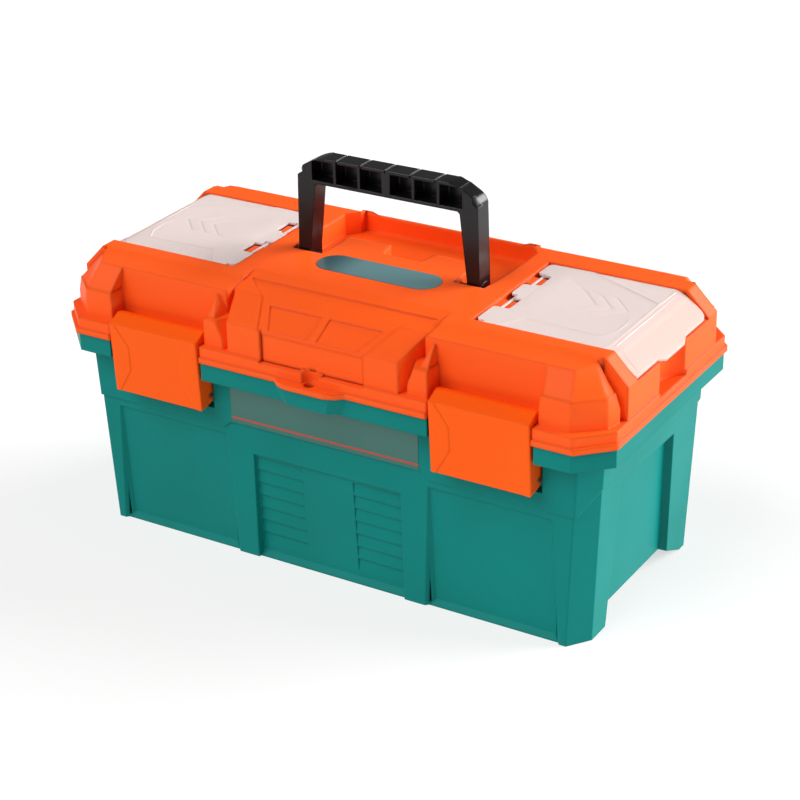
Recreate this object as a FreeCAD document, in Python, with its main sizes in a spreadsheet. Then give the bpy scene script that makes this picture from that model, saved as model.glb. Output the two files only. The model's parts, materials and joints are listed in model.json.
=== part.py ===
import FreeCAD, Part
import os
import re

import Sketcher

# Toolbox with lift-out tray, two lidded small-parts bins, folding handle and two draw latches.
# Millimetres. X runs along the box, +X to the right as seen from the front; the front faces -Y.
# The origin lies under the middle of the box, on the surface that it stands on.

SIZES = {
    # tub
    "tub_height": 140.5,
    "foot_half_length": 180.5,
    "foot_half_depth": 81.5,
    "side_draft": 0.050,
    "front_draft": 0.014,
    "corner_run": 10.5,
    "corner_depth": 14.5,
    "wall": 2.2,
    "floor_thick": 2.4,
    "shoulder_proud": 1.0,
    "shoulder_low": 91.5,
    "shoulder_side": 107.5,
    "shoulder_label": 96.3,
    "channel_rise": 11.0,
    "channel_front": 44.0,
    "channel_back": 36.0,
    "channel_ramp": 24.0,
    # rim
    "rim_half_length": 200.0,
    "rim_half_depth": 97.5,
    "rim_corner": 19.5,
    "collar_height": 12.5,
    "collar_inset": 1.5,
    "ledge_thick": 2.5,
    # recessed wall panels
    "panel_foot_depth": 76.1,
    "panel_draft": 0.06,
    "panel_low": 9.0,
    "pillar_inner": 54.5,
    "pillar_outer": 69.0,
    "pillar_flank": 7.0,
    "column_inner": 167.0,
    "centre_panel_high": 81.7,
    "slat_inner": 19.0,
    "slat_high": 74.0,
    "slat_pitch": 9.4,
    "slat_depth": 0.9,
    "side_panel_high": 99.5,
    "side_panel_sink": 5.0,
    "side_panel_front": 43.7,
    "side_panel_back": 38.0,
    "side_panel_lean": 6.2,
    # latches
    "latch_near": 82.7,
    "latch_far": 154.3,
    "latch_gap": 1.7,
    "latch_pin_depth": 85.4,
    "latch_pin_high": 112.5,
    "latch_pin_radius": 1.5,
    "latch_low": 105.2,
    "latch_face_low": 95.3,
    "latch_face_high": 97.9,
    "latch_skin": 2.4,
    "latch_back": 80.0,
    "latch_heel": 5.4,
    "latch_pocket_depth": 79.5,
    "latch_pocket_low": 103.5,
    "latch_hook_depth": 84.0,
    "notch_depth": 87.0,
    "lug_inset": 10.0,
    "lug_width": 4.0,
    "lug_radius": 4.0,
    # padlock eye
    "eye_radius": 3.6,
    "eye_depth": 96.5,
    "eye_reach": 104.0,
    "eye_half_width": 20.0,
    "bulge_reach": 102.0,
    "bulge_half_width": 28.6,
    # lid
    "lip_height": 3.8,
    "band_height": 10.75,
    "band_inset": 1.4,
    "lid_height": 47.5,
    "end_half_length": 197.5,
    "end_high": 32.0,
    "end_top_half_length": 182.5,
    "end_front": 62.4,
    "end_back": 66.0,
    "lid_front": 78.0,
    "lid_front_high": 44.3,
    "frame_front": 58.5,
    "frame_step": 5.5,
    "frame_back": 70.5,
    "shelf_half_length": 158.0,
    "block_face": 94.0,
    "block_high": 31.0,
    "block_half_length": 62.0,
    "roof_depth": 71.0,
    "roof_high": 43.0,
    "roof_half_length": 70.0,
    "centre_half_length": 73.0,
    "deck_front": 45.0,
    "inlay_half_length": 37.5,
    "inlay_sink": 1.6,
    "window_sink": 0.8,
    "tower_inner": 155.6,
    "tower_face": 90.3,
    "tower_chamfer": 175.3,
    "tower_corner": 192.3,
    "tower_corner_depth": 76.4,
    "tower_side": 195.0,
    "tower_knee": 20.0,
    "tower_step": 29.6,
    "recess_half_length": 73.0,
    "recess_front": 29.0,
    "recess_back": 76.5,
    "recess_floor": 32.5,
    "scoop_half_width": 17.0,
    "scoop_front": 14.0,
    "slot_inner": 49.0,
    "slot_outer": 71.0,
    "slot_front": 4.5,
    "rear_reach": 79.2,
    "rear_low": 44.0,
    # small-parts bins and their covers
    "bin_near": 87.0,
    "bin_front": 45.5,
    "bin_back": 48.5,
    "bin_floor": 6.0,
    "cover_near": 94.0,
    "cover_front": 48.5,
    "cover_back": 51.5,
    "cover_thick": 1.8,
    "cover_gap": 0.5,
    "cover_bend": 179.0,
    "cover_far": 197.0,
    "cover_end_high": 33.0,
    "hinge_rod_near": 92.5,
    "hinge_rod_high": 44.4,
    "hinge_rod_radius": 1.5,
    "lobe_near": 88.3,
    "lobe_swing": 5.4,
    "window_far": 99.0,
    "scallop_radius": 22.0,
    "scallop_near": 188.0,
    "scallop_half_width": 19.0,
    "scallop_floor": 7.5,
    # rear hinges
    "hinge_depth": 100.5,
    "hinge_radius": 3.5,
    "hinge_pin_radius": 1.5,
    "hinge_near": 66.0,
    "hinge_far": 82.0,
    "knuckle_width": 8.0,
    # handle
    "grip_high": 112.0,
    "grip_low": 94.0,
    "handle_front": 3.0,
    "handle_back": 10.6,
    "leg_inner": 53.0,
    "leg_inner_low": 58.0,
    "leg_outer_low": 67.2,
    "leg_outer_high": 66.0,
    "handle_pin_depth": 4.0,
    "handle_pin_high": 41.5,
    "handle_pin_radius": 2.5,
    "handle_heel": 6.4,
    "grip_skin": 2.2,
    # tray
    "tray_low": 92.0,
    "tray_half_length": 175.5,
    "tray_half_depth": 75.5,
    "tray_corner": 8.0,
    "tray_skin": 1.8,
    "tray_flange": 2.0,
    "tray_rim": 7.0,
    # label and badge
    "label_half_length": 69.3,
    "label_low": 97.1,
    "label_gap": 4.0,
    "label_thick": 0.3,
    "badge_half_length": 44.5,
    "badge_radius": 12.5,
    "badge_depth": 13.5,
    "badge_thick": 0.8,
    "badge_sink": 0.6,
    # clearances
    "running_fit": 0.06,
    "side_gap": 0.4,
}

XY = "XY_Plane"
XZ = "XZ_Plane"
YZ = "YZ_Plane"
FAR = "300"

# The stages in which a body's forms are joined: solids are added in the even ones and cut in the odd ones
MASS, HOLLOW, LINING, ROOM, FITTING, BORE = range(6)

doc = FreeCAD.newDocument("Toolbox")
forms = {}


def make_sheet():
    """The driving dimensions, one row each."""
    sheet = doc.addObject("Spreadsheet::Sheet", "Sizes")
    for row, (name, value) in enumerate(SIZES.items(), 1):
        sheet.set(f"A{row}", name)
        sheet.set(f"B{row}", str(value))
        sheet.setAlias(f"B{row}", name)
    doc.recompute()


def bound(text):
    """An expression whose size names are read from the sheet."""
    return re.sub(r"[a-z]+(?:_[a-z]+)*", lambda m: "Sizes." + m[0] if m[0] in SIZES else m[0], text)


def new_body(name):
    body = doc.addObject("PartDesign::Body", name)
    body.Label = name
    return body


def origin_plane(body, role):
    return next(item for item in body.Origin.OriginFeatures if item.Role == role)


def new_sketch(body, name, role, away, lean, shift):
    """A sketch on an origin plane, moved along its normal by away and tilted about its own X."""
    sketch = body.newObject("Sketcher::SketchObject", f"{body.Name}_{name}")
    sketch.AttachmentSupport = (origin_plane(body, role), [""])
    sketch.MapMode = "FlatFace"
    sketch.setExpression("AttachmentOffset.Base.z", bound(away))
    if shift:
        sketch.setExpression("AttachmentOffset.Base.y", bound(shift))
    if lean:
        sketch.AttachmentOffset = FreeCAD.Placement(FreeCAD.Vector(), FreeCAD.Rotation(FreeCAD.Vector(1, 0, 0), 1))
        sketch.setExpression("AttachmentOffset.Rotation.Angle", bound(lean))
    return sketch


def outline(body, name, role, away, points, lean="", shift=""):
    """A closed polygon whose corners are pairs of expressions."""
    sketch = new_sketch(body, name, role, away, lean, shift)
    count = len(points)
    corners = [FreeCAD.Vector(i, i * i, 0) for i in range(count)]
    for i in range(count):
        sketch.addGeometry(Part.LineSegment(corners[i], corners[(i + 1) % count]), False)
    rules = [Sketcher.Constraint("Coincident", i, 2, (i + 1) % count, 1) for i in range(count)]
    for i, corner in enumerate(corners):
        rules.append(Sketcher.Constraint("DistanceX", -1, 1, i, 1, corner.x))
        rules.append(Sketcher.Constraint("DistanceY", -1, 1, i, 1, corner.y))
    sketch.addConstraint(rules)
    for i, (across, up) in enumerate(points):
        sketch.setExpression(f"Constraints[{count + 2 * i}]", bound(across))
        sketch.setExpression(f"Constraints[{count + 2 * i + 1}]", bound(up))
    return sketch


def ring(body, name, role, away, centre, radius):
    """A circle at a pair of expressions."""
    sketch = new_sketch(body, name, role, away, "", "")
    sketch.addGeometry(Part.Circle(FreeCAD.Vector(1, 1, 0), FreeCAD.Vector(0, 0, 1), 1), False)
    sketch.addConstraint([
        Sketcher.Constraint("DistanceX", -1, 1, 0, 3, 1.0),
        Sketcher.Constraint("DistanceY", -1, 1, 0, 3, 1.0),
        Sketcher.Constraint("Radius", 0, 1.0),
    ])
    for i, text in enumerate((centre[0], centre[1], radius)):
        sketch.setExpression(f"Constraints[{i}]", bound(text))
    return sketch


def extrude(body, name, sketch, length, cut=False):
    """A pad along the plane's normal, or a pocket against it."""
    kind = "PartDesign::Pocket" if cut else "PartDesign::Pad"
    feature = body.newObject(kind, f"{body.Name}_{name}")
    feature.Profile = sketch
    feature.setExpression("Length", bound(length))
    feature.Refine = False
    return feature


def form(body, name, stage):
    """A small body of its own, which join() later adds to the body or cuts from it."""
    small = new_body(f"{body.Name}_{name}")
    forms.setdefault((body.Name, stage), []).append(small)
    return small


def slab(body, name, stage, role, low, high, points, lean="", shift=""):
    """A prism between two places along the plane's normal."""
    small = form(body, name, stage)
    extrude(small, "pad", outline(small, "outline", role, low, points, lean, shift), f"({high}) - ({low})")
    return small


def rod(body, name, stage, role, low, high, centre, radius):
    """A cylinder between two places along the plane's normal."""
    small = form(body, name, stage)
    extrude(small, "pad", ring(small, "circle", role, low, centre, radius), f"({high}) - ({low})")
    return small


def loft(body, name, stage, role, tiers, lean=""):
    """A ruled solid through outlines at rising places along the plane's normal."""
    small = form(body, name, stage)
    sketches = [outline(small, f"tier{i}", role, away, points, lean) for i, (away, points) in enumerate(tiers)]
    feature = small.newObject("PartDesign::AdditiveLoft", f"{small.Name}_loft")
    feature.Profile = sketches[0]
    feature.Sections = sketches[1:]
    feature.Ruled = True
    feature.Refine = False
    return small


def frustum(body, name, stage, role, low, high, base, top, lean="0 deg"):
    """A block with flat sloping sides between two rectangles (left, right, bottom, top) on parallel planes."""
    small = form(body, name, stage)
    feature = small.newObject("PartDesign::AdditiveWedge", f"{small.Name}_block")
    feature.AttachmentSupport = (origin_plane(small, role), [""])
    feature.MapMode = "FlatFace"
    feature.AttachmentOffset = FreeCAD.Placement(FreeCAD.Vector(), FreeCAD.Rotation(FreeCAD.Vector(1, 0, 0), 90))
    feature.setExpression("AttachmentOffset.Rotation.Angle", bound(f"90 deg + ({lean})"))
    sizes = {
        "Ymin": low, "Xmin": base[0], "Xmax": base[1], "Zmin": f"-({base[3]})", "Zmax": f"-({base[2]})",
        "Ymax": high, "X2min": top[0], "X2max": top[1], "Z2min": f"-({top[3]})", "Z2max": f"-({top[2]})",
    }
    for size, text in sizes.items():
        feature.setExpression(size, bound(text))
    feature.Refine = False
    return small


def join(body, mirrored=False):
    """Adds and cuts the body's forms, one stage after another, then mirrors the right half."""
    doc.recompute()
    stages = [stage for stage in range(BORE + 1) if (body.Name, stage) in forms]
    for stage in stages:
        feature = body.newObject("PartDesign::Boolean", f"{body.Name}_stage{stage}")
        feature.addObjects(forms[body.Name, stage])
        feature.Type = "Cut" if stage in (HOLLOW, ROOM, BORE) else "Fuse"
        feature.Refine = stage == stages[-1] and not mirrored
    if mirrored:
        doc.recompute()
        feature = body.newObject("PartDesign::Mirrored", f"{body.Name}_mirror")
        feature.TransformMode = "Whole shape"
        feature.MirrorPlane = (origin_plane(body, YZ), [""])
        body.Tip = feature
    return body


def to_middle(points):
    """A right half outline, closed along the middle plane."""
    return points + [("0", points[-1][1]), ("0", points[0][1])]


def box(left, right, low, high):
    return [(left, low), (right, low), (right, high), (left, high)]


def turned(points, sign):
    """The outline on the right, or its mirror image on the left."""
    return [(f"{sign} * ({across})", up) for across, up in points]


def span(sign, near, far):
    """Low and high places along X for a piece between near and far, on the right or the left."""
    return (near, far) if sign == "1" else (f"-({far})", f"-({near})")


def half_octagon(half_length, half_depth, run, depth):
    """The right half of a rectangle with its corners cut off."""
    return to_middle([
        (f"{half_length} - {run}", f"-({half_depth})"),
        (half_length, f"-({half_depth} - {depth})"),
        (half_length, f"{half_depth} - {depth}"),
        (f"{half_length} - {run}", half_depth),
    ])


def rim_ring(inset):
    return half_octagon(f"(rim_half_length - {inset})", f"(rim_half_depth - {inset})", "rim_corner", "rim_corner")


def lid_level(height):
    return f"tub_height + {height}"


# Tub: its right half is modelled and then mirrored

def leaning_block(body, name, stage, low, out):
    """The space inside the tub's leaning walls and corners, with the walls moved out by out."""
    def rectangle(height):
        length = f"foot_half_length + side_draft * ({height}) + {out}"
        depth = f"foot_half_depth + front_draft * ({height}) + {out}"
        return ("0", length, f"-({depth})", depth)
    block = frustum(body, name, stage, XY, low, "tub_height", rectangle(low), rectangle("tub_height"))
    length = f"foot_half_length + {out}"
    depth = f"foot_half_depth + {out}"
    for place, sign in (("front", "-1"), ("back", "1")):
        sketch = outline(block, f"{place}_corner", XY, "0", [
            (f"{length} - corner_run", f"{sign} * ({depth})"),
            (length, f"{sign} * ({depth} - corner_depth)"),
            (f"{length} + 25", f"{sign} * ({depth} - corner_depth)"),
            (f"{length} + 25", f"{sign} * ({depth} + 25)"),
            (f"{length} - corner_run", f"{sign} * ({depth} + 25)"),
        ])
        feature = extrude(block, f"{place}_corner_cut", sketch, "tub_height + 1", True)
        feature.UseCustomVector = True
        feature.AlongSketchNormal = True
        feature.setExpression("Direction.x", bound("side_draft"))
        feature.setExpression("Direction.y", bound(f"{sign} * front_draft"))
        feature.setExpression("Direction.z", "1")
    return block


def tub_walls(body):
    """Leaning walls that stand proud above a shoulder, with a collar round the top."""
    shoulder = leaning_block(body, "shoulder", MASS, "0", "shoulder_proud")
    side = "foot_half_length + side_draft * shoulder_side + shoulder_proud"
    edge = outline(shoulder, "edge", XZ, FAR, [
        ("-1", "shoulder_label"),
        ("pillar_outer + 1", "shoulder_label"),
        ("pillar_outer + pillar_flank", "shoulder_low"),
        (f"{side} - corner_run", "shoulder_low"),
        (side, "shoulder_side"),
        (FAR, "shoulder_side"),
        (FAR, "-1"),
        ("-1", "-1"),
    ])
    extrude(shoulder, "edge_cut", edge, f"2 * {FAR}", True)
    leaning_block(body, "walls", MASS, "0", "0")
    slab(body, "collar", MASS, XY, "tub_height - collar_height", "tub_height", rim_ring("collar_inset"))
    leaning_block(body, "inside", HOLLOW, "floor_thick", "-wall")


def tub_channel(body):
    """The floor's middle strip is raised between the two rails that the box stands on."""
    def section(skin):
        return [
            (f"-(channel_front + {skin})", "0"),
            (f"-(channel_front - 1.5 + {skin})", f"channel_rise + {skin}"),
            (f"channel_back + {skin}", f"channel_rise + {skin}"),
            (f"channel_back + channel_ramp + {skin}", "0"),
        ]
    slab(body, "channel_skin", LINING, YZ, "0", "foot_half_length - 1", section("floor_thick"))
    slab(body, "channel", ROOM, YZ, "-1", FAR, section("0"))


def panel_skin(foot, draft, face, face_draft, high):
    """The section of the backing behind a sunk panel: out from the wall's middle, and up."""
    return [
        (f"({foot} - wall)", "0"),
        (f"({foot} - wall + {draft} * ({high}))", f"{high} + wall"),
        (f"({face} - 0.5 + {face_draft} * ({high}))", f"{high} + wall"),
        (f"({face} - 0.5)", "0"),
    ]


def tub_panels(body):
    """Panels sunk into the walls, each with a skin of even thickness behind it."""
    long_panels = (
        ("end", "pillar_outer + pillar_flank", "column_inner - pillar_flank", "shoulder_low", "pillar_flank"),
        ("centre", "0", "pillar_inner", "centre_panel_high", "1.5"),
    )
    for name, left, right, high, flare in long_panels:
        section = panel_skin("panel_foot_depth", "panel_draft", "foot_half_depth", "front_draft", high)
        low_x = f"{left} - wall" if name == "end" else "0"
        for facing, sign in (("front", "-1"), ("back", "1")):
            slab(body, f"{facing}_{name}_skin", LINING, YZ, low_x, f"{right} + wall", turned(section, sign))
    for name, left, right, high, flare in long_panels:
        floor = (left if name == "end" else "-5", right, "panel_low", f"{high} - 0.6")
        mouth = (f"{floor[0]} - {flare}", f"{right} + {flare}", "0.5", high)
        near = "panel_foot_depth"
        far = "foot_half_depth + 1.5"
        frustum(body, f"front_{name}_panel", ROOM, XZ, near, far, floor, mouth, "atan(panel_draft)")
        frustum(body, f"back_{name}_panel", ROOM, XZ, f"-({far})", f"-({near})", mouth, floor, "-atan(panel_draft)")
    side = panel_skin("foot_half_length - side_panel_sink", "side_draft", "foot_half_length", "side_draft",
                      "side_panel_high")
    slab(body, "side_panel_skin", LINING, XZ, "-(side_panel_back + 3 + wall)", "side_panel_front + 5 + wall", side)
    front = "-(side_panel_front"
    back = "(side_panel_back"
    floor = [
        (f"{front})", "-1"),
        (f"{back})", "-1"),
        (f"{back} - side_panel_lean)", "side_panel_high - 4"),
        (f"{front} - side_panel_lean)", "side_panel_high - 4"),
    ]
    mouth = [
        (f"{front} + 7)", "-1"),
        (f"{back} + 2)", "-1"),
        (f"{back} + 2 - side_panel_lean)", "side_panel_high"),
        (f"{front} + 7 - side_panel_lean)", "side_panel_high"),
    ]
    loft(body, "side_panel", ROOM, YZ, [
        ("foot_half_length - side_panel_sink", floor),
        ("foot_half_length + shoulder_proud + 1", mouth),
    ], lean="atan(side_draft)")


def tub_slats(body):
    """Louvres in the front's middle panel, each deepest at its top."""
    def floor_at(height, sink):
        return f"-(panel_foot_depth + panel_draft * ({height}) - {sink})"
    count = 7
    teeth = [("-(foot_half_depth + 10)", "slat_high")]
    for i in range(count):
        top = f"slat_high - {i} * slat_pitch"
        bottom = f"slat_high - {i + 1} * slat_pitch"
        teeth.append((floor_at(top, "slat_depth"), top))
        teeth.append((floor_at(bottom, "-0.1"), bottom))
    teeth.append(("-(foot_half_depth + 10)", f"slat_high - {count} * slat_pitch"))
    slab(body, "slats", ROOM, YZ, "slat_inner", "pillar_inner - 0.5", teeth)


def tub_latch_seat(body):
    """A pocket for the latch, with two lugs for its pin."""
    skin_front = "-(foot_half_depth + 1)"
    skin_back = "-(latch_pocket_depth - wall)"
    collar_low = "(tub_height - collar_height)"
    slab(body, "latch_skin", LINING, YZ, "latch_near - wall", "latch_far + wall", [
        (skin_front, "latch_pocket_low - wall"),
        (skin_back, "latch_pocket_low"),
        (skin_back, collar_low),
        ("-(notch_depth - wall)", f"{collar_low} + wall"),
        ("-(notch_depth - wall)", "tub_height"),
        ("-(rim_half_depth - 3)", "tub_height"),
        ("-(rim_half_depth - 3)", f"{collar_low} + 1"),
        (skin_front, f"{collar_low} + 1"),
    ])
    slab(body, "latch_pocket", ROOM, YZ, "latch_near", "latch_far", [
        ("-(eye_reach + 10)", "latch_pocket_low - 3"),
        ("-(foot_half_depth + 2)", "latch_pocket_low"),
        ("-latch_pocket_depth", "latch_pocket_low + 1"),
        ("-latch_pocket_depth", collar_low),
        ("-notch_depth", f"{collar_low} + 0.5"),
        ("-notch_depth", "tub_height + 1"),
        ("-(eye_reach + 10)", "tub_height + 1"),
    ])
    axis = ("-latch_pin_depth", "latch_pin_high")
    for place, start in (("near", "latch_near + lug_inset"), ("far", "latch_far - lug_inset - lug_width")):
        end = f"{start} + lug_width"
        slab(body, f"{place}_lug_root", FITTING, YZ, start, end, box(
            "-latch_pin_depth", "-(latch_pocket_depth - 0.5)", "latch_pin_high - lug_radius + 0.8",
            "latch_pin_high + lug_radius"))
        rod(body, f"{place}_lug", FITTING, YZ, start, end, axis, "lug_radius")
    rod(body, "lug_bores", BORE, YZ, "latch_near", "latch_far", axis, "latch_pin_radius + running_fit")


def tub_padlock_eye(body):
    """The collar swells out below the lid's padlock eye."""
    low = "(tub_height - collar_height + 1)"
    loft(body, "bulge", LINING, XY, [
        (low, to_middle([("bulge_half_width - 4", "-(rim_half_depth - 3)"),
                         ("eye_half_width - 6", "-(bulge_reach - 1)")])),
        ("tub_height", to_middle([("bulge_half_width", "-(rim_half_depth - 3)"),
                                  ("eye_half_width - 3", "-bulge_reach")])),
    ])
    slab(body, "eye_block", LINING, XY, low, "tub_height",
         box("0", "12", "-(rim_half_depth - 2)", "-(eye_depth - eye_radius - 2.5)"))
    rod(body, "padlock_hole", BORE, XY, f"{low} - 5", "tub_height + 1", ("0", "-eye_depth"), "eye_radius")


def hinge_knuckle(body, name, low, high, web_low, web_high, web_front):
    """A barrel about the hinge pin, with a web to the rim that carries it."""
    rod(body, f"{name}_barrel", FITTING, YZ, low, high, ("hinge_depth", "tub_height"), "hinge_radius")
    slab(body, f"{name}_web", FITTING, YZ, low, high, box(web_front, "hinge_depth", web_low, web_high))


def tub_hinge(body):
    inner = "hinge_near - side_gap - knuckle_width"
    outer = "hinge_far + side_gap"
    for place, start in (("inner", inner), ("outer", outer)):
        hinge_knuckle(body, f"{place}_knuckle", start, f"{start} + knuckle_width", "tub_height - hinge_radius",
                      "tub_height - 0.3", "rim_half_depth - collar_inset - 1")
    rod(body, "knuckle_bores", BORE, YZ, f"{inner} - 1", f"{outer} + knuckle_width + 1", ("hinge_depth", "tub_height"),
        "hinge_pin_radius + running_fit")


def base_tub():
    body = new_body("base_tub")
    tub_walls(body)
    tub_channel(body)
    tub_panels(body)
    tub_slats(body)
    tub_latch_seat(body)
    ledge = "(tub_height - collar_height + ledge_thick)"
    tub_padlock_eye(body)
    rim_inside = half_octagon("(rim_half_length - collar_inset - wall)", "(latch_pocket_depth + 1)", "rim_corner",
                              "rim_corner / 2")
    slab(body, "tray_ledge", ROOM, XY, ledge, "tub_height + 1", rim_inside)
    for place, points in (
            ("front", [("bulge_half_width", "-(rim_half_depth - collar_inset - wall)"),
                       ("latch_near - 2 * wall", "-(rim_half_depth - collar_inset - wall)"),
                       ("latch_near - 2 * wall", "-(latch_pocket_depth - 5)"),
                       ("bulge_half_width", "-(latch_pocket_depth - 5)")]),
            ("corner", [("latch_far + 2 * wall", "-(rim_half_depth - collar_inset - wall)"),
                        ("rim_half_length - collar_inset - wall - rim_corner",
                         "-(rim_half_depth - collar_inset - wall)"),
                        ("rim_half_length - collar_inset - wall",
                         "-(rim_half_depth - collar_inset - wall - rim_corner)"),
                        ("rim_half_length - collar_inset - wall", "-(latch_pocket_depth - 20)"),
                        ("latch_far + 2 * wall", "-(latch_pocket_depth - 20)")]),
            ("back", to_middle([("rim_half_length - collar_inset - wall", "latch_pocket_depth - 20"),
                                ("rim_half_length - collar_inset - wall",
                                 "rim_half_depth - collar_inset - wall - rim_corner"),
                                ("rim_half_length - collar_inset - wall - rim_corner",
                                 "rim_half_depth - collar_inset - wall")]))):
        slab(body, f"{place}_rim_hollow", ROOM, XY, ledge, "tub_height + 1", points)
    tub_hinge(body)
    return join(body, mirrored=True)


def front_label():
    body = new_body("front_label")
    face = "foot_half_depth + shoulder_proud"
    slab(body, "plate", MASS, XZ, face, f"{face} + label_thick",
         box("-label_half_length", "label_half_length", "label_low", "tub_height - collar_height - label_gap"),
         lean="atan(front_draft)")
    return join(body)


# Lid: its right half is modelled and then mirrored

def lid_end_section(skin):
    """The lid's section along its ends: a flat top, a slope and a steep end wall."""
    root = lid_level("band_height - 5")
    top = f"tub_height + lid_height - {skin}"
    return [
        ("centre_half_length - 1", root),
        (f"end_half_length - {skin}", root),
        (f"end_half_length - {skin}", f"tub_height + end_high - 0.5 * {skin}"),
        (f"end_top_half_length - 0.5 * {skin}", top),
        ("centre_half_length - 1", top),
    ]


def lid_centre_section(skin):
    """The lid's section across its middle, where the roof slopes down to the block."""
    root = lid_level("band_height - 5")
    return [
        (f"-(roof_depth - {skin})", root),
        (f"-(roof_depth - {skin})", f"tub_height + roof_high - 1.3 * {skin}"),
        ("-deck_front", f"tub_height + lid_height - 1.1 * {skin}"),
        ("frame_back", f"tub_height + lid_height - {skin}"),
        (f"rear_reach - {skin}", f"tub_height + rear_low - {skin}"),
        (f"rear_reach - {skin}", root),
    ]


def lid_shelf_section(skin):
    """The lid's section across the latch seats: steep front and back, with a flat top between slopes."""
    top = f"(tub_height + lid_height - {skin})"
    root = lid_level("band_height - 5")
    return [
        (f"-(lid_front - {skin})", root),
        (f"-(lid_front - {skin})", f"tub_height + lid_front_high - {skin}"),
        ("-(frame_front + frame_step - 1)", f"tub_height + lid_front_high + 1 - {skin}"),
        ("-(frame_front - 1)", top),
        ("frame_back", top),
        (f"rear_reach - {skin}", f"tub_height + rear_low - {skin}"),
        (f"rear_reach - {skin}", root),
    ]


def tower_outline(sign, near, face, chamfer, corner, side):
    return [
        (near, f"{sign} * 56"),
        (near, f"{sign} * ({face})"),
        (chamfer, f"{sign} * ({face})"),
        (corner[0], f"{sign} * ({corner[1]})"),
        (side[0], f"{sign} * ({side[1]})"),
        (f"{side[0]} - 7", f"{sign} * 56"),
    ]


def lid_towers(body):
    """Stepped towers on the lid's corners, front and back."""
    for place, sign, lean in (("front", "-1", "-2.9"), ("back", "1", "2.9")):
        low = tower_outline(sign, "tower_inner - 0.8", "tower_face + 0.3", "tower_chamfer",
                            ("tower_corner", "tower_corner_depth"), ("tower_side", "66"))
        loft(body, f"{place}_tower", MASS, XY, [
            (lid_level("band_height - 5"), low),
            (lid_level("tower_knee"), low),
            (lid_level("tower_step"), tower_outline(
                sign, "tower_inner", "tower_face - 0.4", "tower_chamfer",
                ("tower_corner - 1.2", "tower_corner_depth - 1.2"), ("tower_side - 3", "66"))),
        ])
        foot = tower_outline(sign, "tower_inner + 0.6", "tower_face - 1.7", "tower_chamfer - 0.4",
                             ("tower_corner - 1.7", "tower_corner_depth - 1.2"), ("tower_side - 4", "66"))
        loft(body, f"{place}_tower_top", MASS, XY, [
            (lid_level("tower_step - 4"), foot),
            (lid_level("tower_step"), foot),
            (lid_level("lid_height"), tower_outline(
                sign, f"tower_inner + {lean}", "lid_front - 2.4", "tower_chamfer - 4.5",
                ("tower_corner - 15.7", "tower_corner_depth - 13"), ("tower_side - 17.5", "62.9"))),
        ])


def lid_side_block(body):
    """A two-tier block between the front block and the latch seat: a stub with a fin on top."""
    back = "-(lid_front - 4)"
    face = "-(block_face - 1.8)"

    def stub(corner):
        return [
            (f"{corner} - 8", back),
            (corner, face),
            ("latch_near - 1.4", face),
            ("latch_near - 1.4", back),
        ]

    def fin(near, far, front):
        return [
            (f"{near} - 3", back),
            (near, front),
            (far, front),
            (f"{far} + 0.4", back),
        ]

    loft(body, "block_stub", MASS, XY, [
        (lid_level("band_height - 1"), stub("block_half_length + 5")),
        (lid_level("tower_knee - 2"), stub("block_half_length + 5.6")),
        (lid_level("tower_step - 0.6"), stub("block_half_length + 10.2")),
    ])
    root = fin("block_half_length + 12.5", "latch_near - 2.6", "-(block_face - 5)")
    loft(body, "block_fin", MASS, XY, [
        (lid_level("tower_step - 3"), root),
        (lid_level("tower_step - 0.6"), root),
        (lid_level("roof_high - 2"), fin("latch_near - 4.6", "latch_near - 3.2", "-(lid_front + 1.5)")),
    ])


def lid_front_block(body):
    """The block in the middle of the front, with a sloping roof."""
    block = slab(body, "block", MASS, XY, lid_level("band_height - 5"), lid_level("roof_high - 0.1"), to_middle([
        ("block_half_length", "-block_face"),
        ("roof_half_length", "-roof_depth"),
        ("roof_half_length", "-(roof_depth - 5)"),
    ]))
    rise = "((roof_high - block_high) / (block_face - roof_depth))"
    roof = outline(block, "roof", YZ, "roof_half_length + 1", [
        ("-(block_face + 5)", lid_level(f"block_high - 5 * {rise}")),
        ("-(roof_depth - 1)", lid_level(f"roof_high + {rise}")),
        ("-(roof_depth - 1)", lid_level("lid_height + 5")),
        ("-(block_face + 5)", lid_level("lid_height + 5")),
    ])
    extrude(block, "roof_cut", roof, "roof_half_length + 2", True)


def lid_forms(body):
    slab(body, "lip", MASS, XY, "tub_height", lid_level("lip_height"), rim_ring("0"))
    slab(body, "band", MASS, XY, "tub_height", lid_level("band_height"), rim_ring("band_inset"))
    slab(body, "centre", MASS, YZ, "0", "centre_half_length", lid_centre_section("0"))
    slab(body, "shelf", MASS, YZ, "centre_half_length - 1", "shelf_half_length", [
        ("-lid_front", lid_level("band_height - 5")),
        ("-lid_front", lid_level("lid_height")),
        *lid_shelf_section("0")[4:],
    ])
    slab(body, "ends", MASS, XZ, "-end_back", "end_front", lid_end_section("0"))
    lid_front_block(body)
    lid_side_block(body)
    lid_towers(body)


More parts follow.
